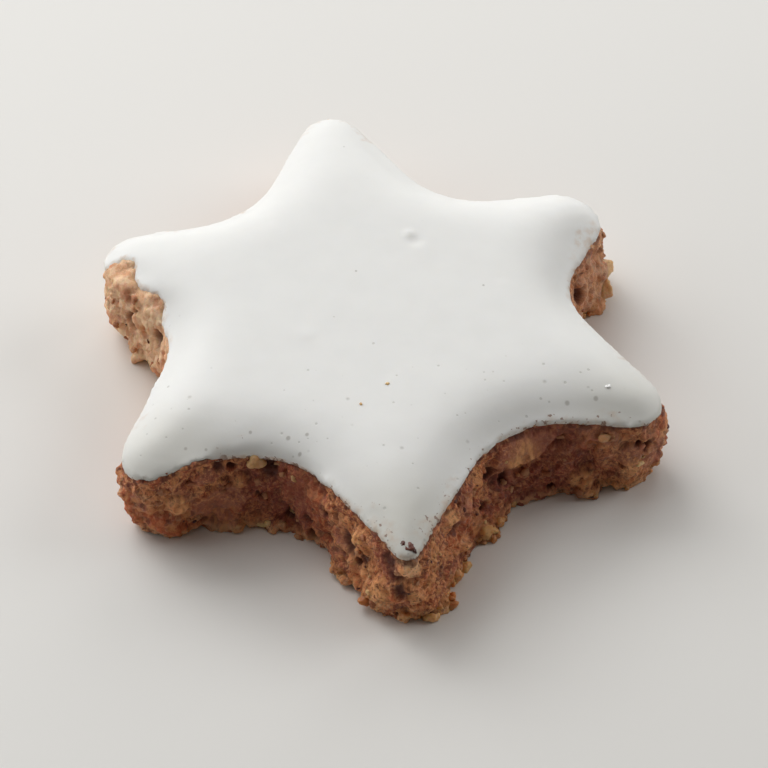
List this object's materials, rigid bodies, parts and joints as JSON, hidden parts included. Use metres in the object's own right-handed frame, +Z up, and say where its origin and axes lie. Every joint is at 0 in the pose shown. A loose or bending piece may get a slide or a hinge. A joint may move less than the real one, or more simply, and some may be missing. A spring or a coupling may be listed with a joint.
{
  "type": "cinnamon star cookie",
  "caption": "Thick six-armed star biscuit of coarse nut and cinnamon dough with a smooth white icing over the top that rounds down onto its sides.",
  "frame": {"origin": "middle of the biscuit's box, on the surface it lies on", "axes": "+Z up through the icing, +Y along the longest arms, from the front arm to the back one, +X to the right of someone facing along +Y"},
  "size_m": [0.0474, 0.0556, 0.0106],
  "materials": {
    "dough": "coarse crumb of ground nuts, matte with a few moist glints",
    "icing": "smooth satin-matte white sugar icing"
  },
  "bodies": {
    "root": {"dough": "dough", "icing": "icing"}
  },
  "joints": []
}
